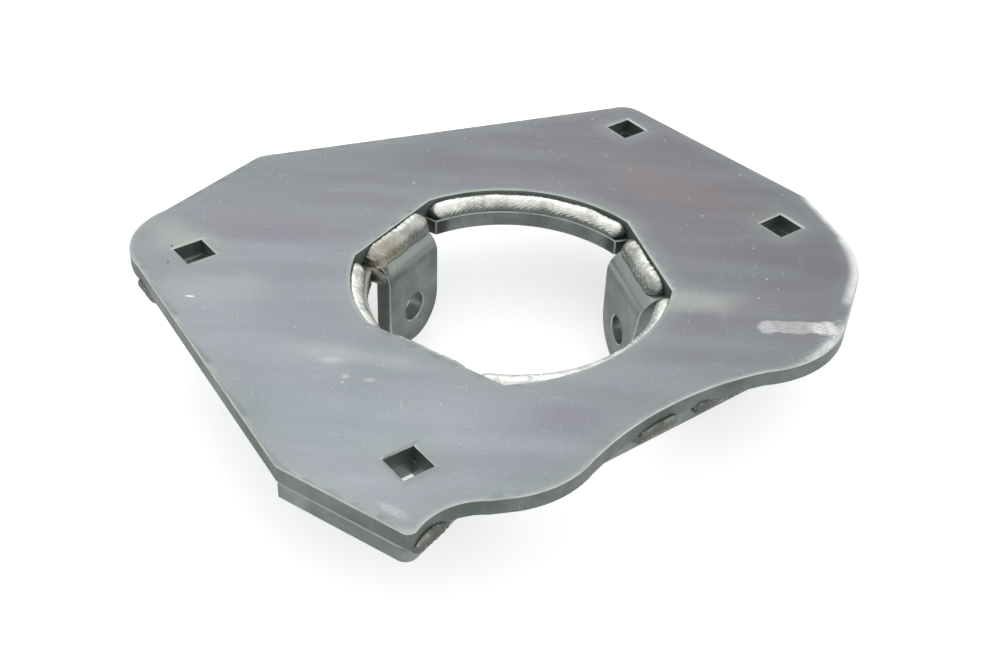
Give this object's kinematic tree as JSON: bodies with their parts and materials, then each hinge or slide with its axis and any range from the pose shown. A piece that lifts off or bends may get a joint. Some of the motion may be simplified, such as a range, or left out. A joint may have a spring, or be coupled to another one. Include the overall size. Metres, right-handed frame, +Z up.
{
  "type": "motor mounting bracket",
  "caption": "Flat welded steel bracket with a round motor opening, folded lugs around it and square bolt holes in the plate.",
  "frame": {"origin": "centre of the motor opening on the top face", "axes": "+Z up out of the top face, +X along the rows of square holes, +Y from the wide-set row to the close-set row"},
  "size_m": [0.215, 0.243, 0.0475],
  "materials": {
    "plated_plate": "zinc-plated sheet, blue-grey with a faint cloudy tint",
    "plated_lug_plate": "zinc-plated sheet, darker green-grey",
    "weld_bead": "bright plated weld metal"
  },
  "bodies": {
    "root": {"top_plate": "plated_plate", "lug_plate": "plated_lug_plate", "right_lug": "plated_lug_plate", "left_lug": "plated_lug_plate", "front_lug": "plated_lug_plate", "weld_back_arc": "weld_bead", "weld_left_arc": "weld_bead", "weld_right_arc": "weld_bead", "weld_right_lug": "weld_bead", "weld_left_lug": "weld_bead", "weld_front_lug": "weld_bead", "weld_front_side": "weld_bead", "weld_right_side_low": "weld_bead", "weld_right_side_high": "weld_bead", "weld_left_side": "weld_bead"}
  },
  "joints": []
}
